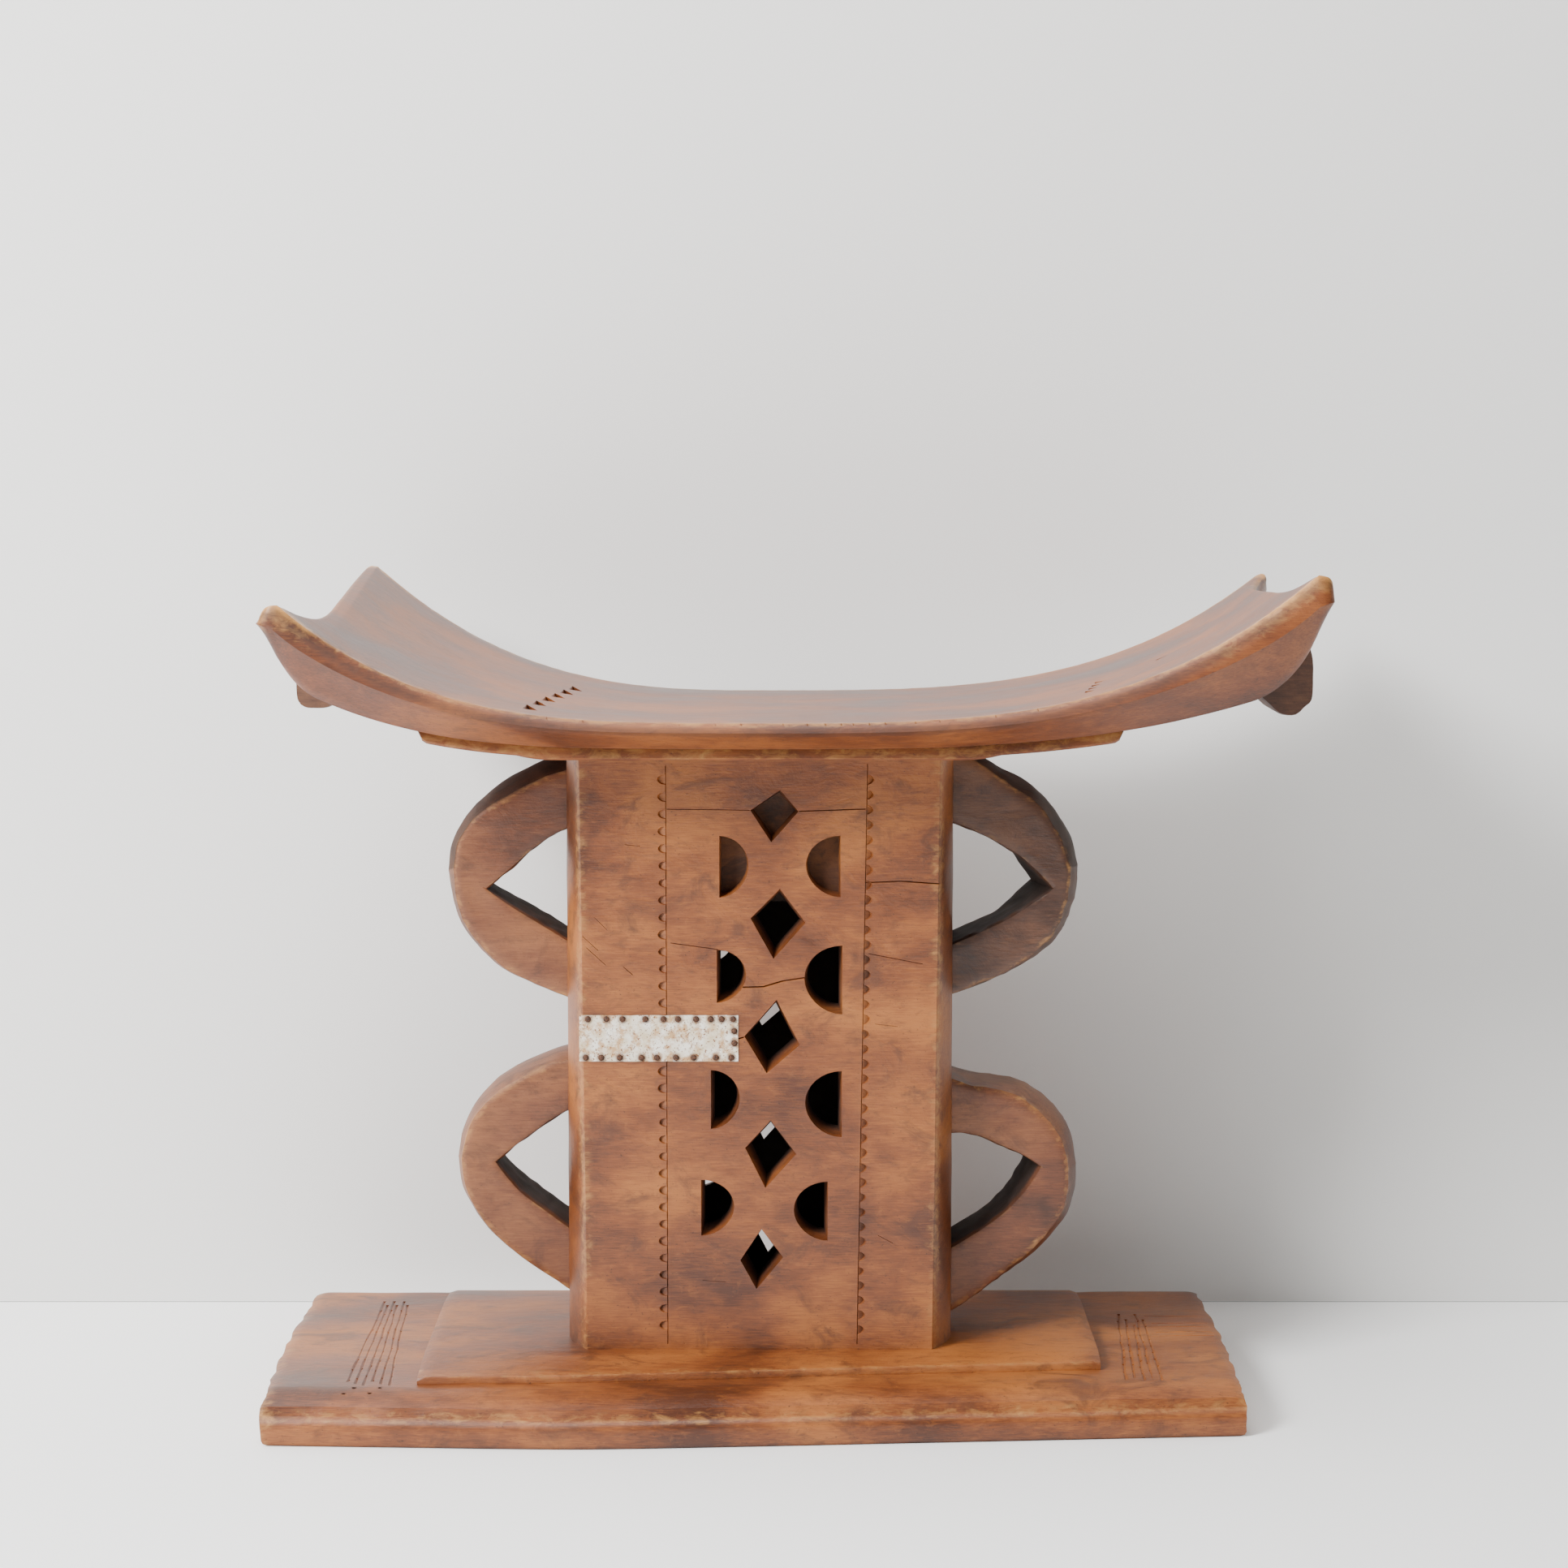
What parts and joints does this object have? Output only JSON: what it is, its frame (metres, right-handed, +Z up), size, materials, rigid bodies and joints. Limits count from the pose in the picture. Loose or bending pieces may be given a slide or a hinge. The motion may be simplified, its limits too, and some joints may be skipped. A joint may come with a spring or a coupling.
{
  "type": "stool",
  "caption": "Carved wooden stool with a crescent seat that ends in horns, a pierced hollow column, loop handles at its sides, a stepped base and a tacked tin repair plate.",
  "frame": {"origin": "on the ground, under the middle of the whole stool", "axes": "+X along the seat to the right, +Y from the front, where the repair plate is, to the back, +Z up"},
  "size_m": [0.549, 0.254, 0.4425],
  "materials": {
    "carved_wood": "hand-polished, worn, satin",
    "painted_tin": "old cream paint, chipped and rust-specked",
    "rusty_iron": "dark rust, matt"
  },
  "bodies": {
    "root": {"base_slab": "carved_wood", "base_step": "carved_wood", "column_head": "carved_wood", "column_front_wall": "carved_wood", "column_back_wall": "carved_wood", "column_left_cheek": "carved_wood", "column_right_cheek": "carved_wood", "upper_left_loop": "carved_wood", "lower_left_loop": "carved_wood", "upper_right_loop": "carved_wood", "lower_right_loop": "carved_wood", "seat": "carved_wood", "under_seat_panel": "carved_wood", "left_grip_lug": "carved_wood", "right_grip_lug": "carved_wood", "repair_plate": "painted_tin", "repair_tack_01": "rusty_iron", "repair_tack_02": "rusty_iron", "repair_tack_03": "rusty_iron", "repair_tack_04": "rusty_iron", "repair_tack_05": "rusty_iron", "repair_tack_06": "rusty_iron", "repair_tack_07": "rusty_iron", "repair_tack_08": "rusty_iron", "repair_tack_09": "rusty_iron", "repair_tack_10": "rusty_iron", "repair_tack_11": "rusty_iron", "repair_tack_12": "rusty_iron", "repair_tack_13": "rusty_iron", "repair_tack_14": "rusty_iron", "repair_tack_15": "rusty_iron", "repair_tack_16": "rusty_iron", "repair_tack_17": "rusty_iron", "repair_tack_18": "rusty_iron", "repair_tack_19": "rusty_iron", "repair_tack_20": "rusty_iron", "repair_tack_21": "rusty_iron"}
  },
  "joints": []
}
